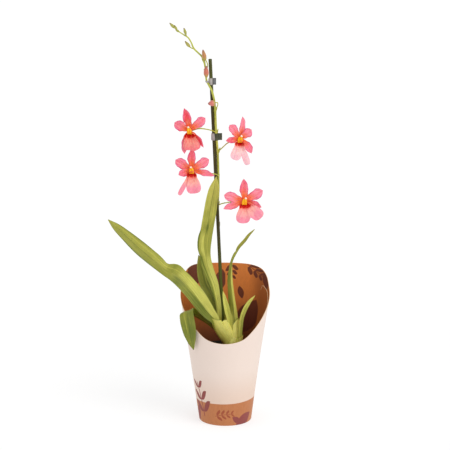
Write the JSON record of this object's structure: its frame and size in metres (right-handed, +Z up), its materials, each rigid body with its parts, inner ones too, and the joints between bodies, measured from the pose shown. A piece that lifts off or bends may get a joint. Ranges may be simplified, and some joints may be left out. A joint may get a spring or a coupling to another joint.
{
  "type": "potted orchid",
  "caption": "Potted orchid with strap leaves, a staked and clipped flower stem with blooms and buds, standing in a carton sleeve with a scooped rim.",
  "frame": {"origin": "middle of the sleeve's flat underside, on the floor", "axes": "+Z up along the stem, -Y towards the low front of the sleeve, +X to the right as seen from the front"},
  "size_m": [0.2604, 0.1419, 0.6401],
  "materials": {
    "board": "matte white-faced carton board outside, bare kraft inside, printed",
    "pot": "matte dark grow pot plastic",
    "bark": "rough dark bark chips",
    "bulb": "smooth satin plant skin",
    "leaf": "satin leaf with fine parallel veins",
    "stem": "satin green stem",
    "tepal": "velvety petal with fine veins",
    "lip": "velvety pale petal with a dark patch at its base",
    "column": "waxy pale flower centre",
    "bud": "satin closed bud",
    "stake": "dark green coated stick",
    "clip": "smooth moulded plastic"
  },
  "bodies": {
    "root": {"sleeve": "board", "grow_pot": "pot", "potting_bark": "bark", "pseudobulb": "bulb", "stake": "stake", "flower_stem": "stem", "bud_1": "bud", "bud_2": "bud", "bud_3": "bud", "bud_4": "bud", "bud_5": "bud", "clip_upper": "clip", "clip_lower": "clip", "leaf_long": "leaf", "leaf_drooping": "leaf", "leaf_tall": "leaf", "leaf_behind": "leaf", "leaf_folded": "leaf", "leaf_short": "leaf", "leaf_small": "leaf", "bloom_1_tepals": "tepal", "bloom_1_lip": "lip", "bloom_1_column": "column", "bloom_2_tepals": "tepal", "bloom_2_lip": "lip", "bloom_2_column": "column", "bloom_3_tepals": "tepal", "bloom_3_lip": "lip", "bloom_3_column": "column", "bloom_4_tepals": "tepal", "bloom_4_lip": "lip", "bloom_4_column": "column"}
  },
  "joints": []
}
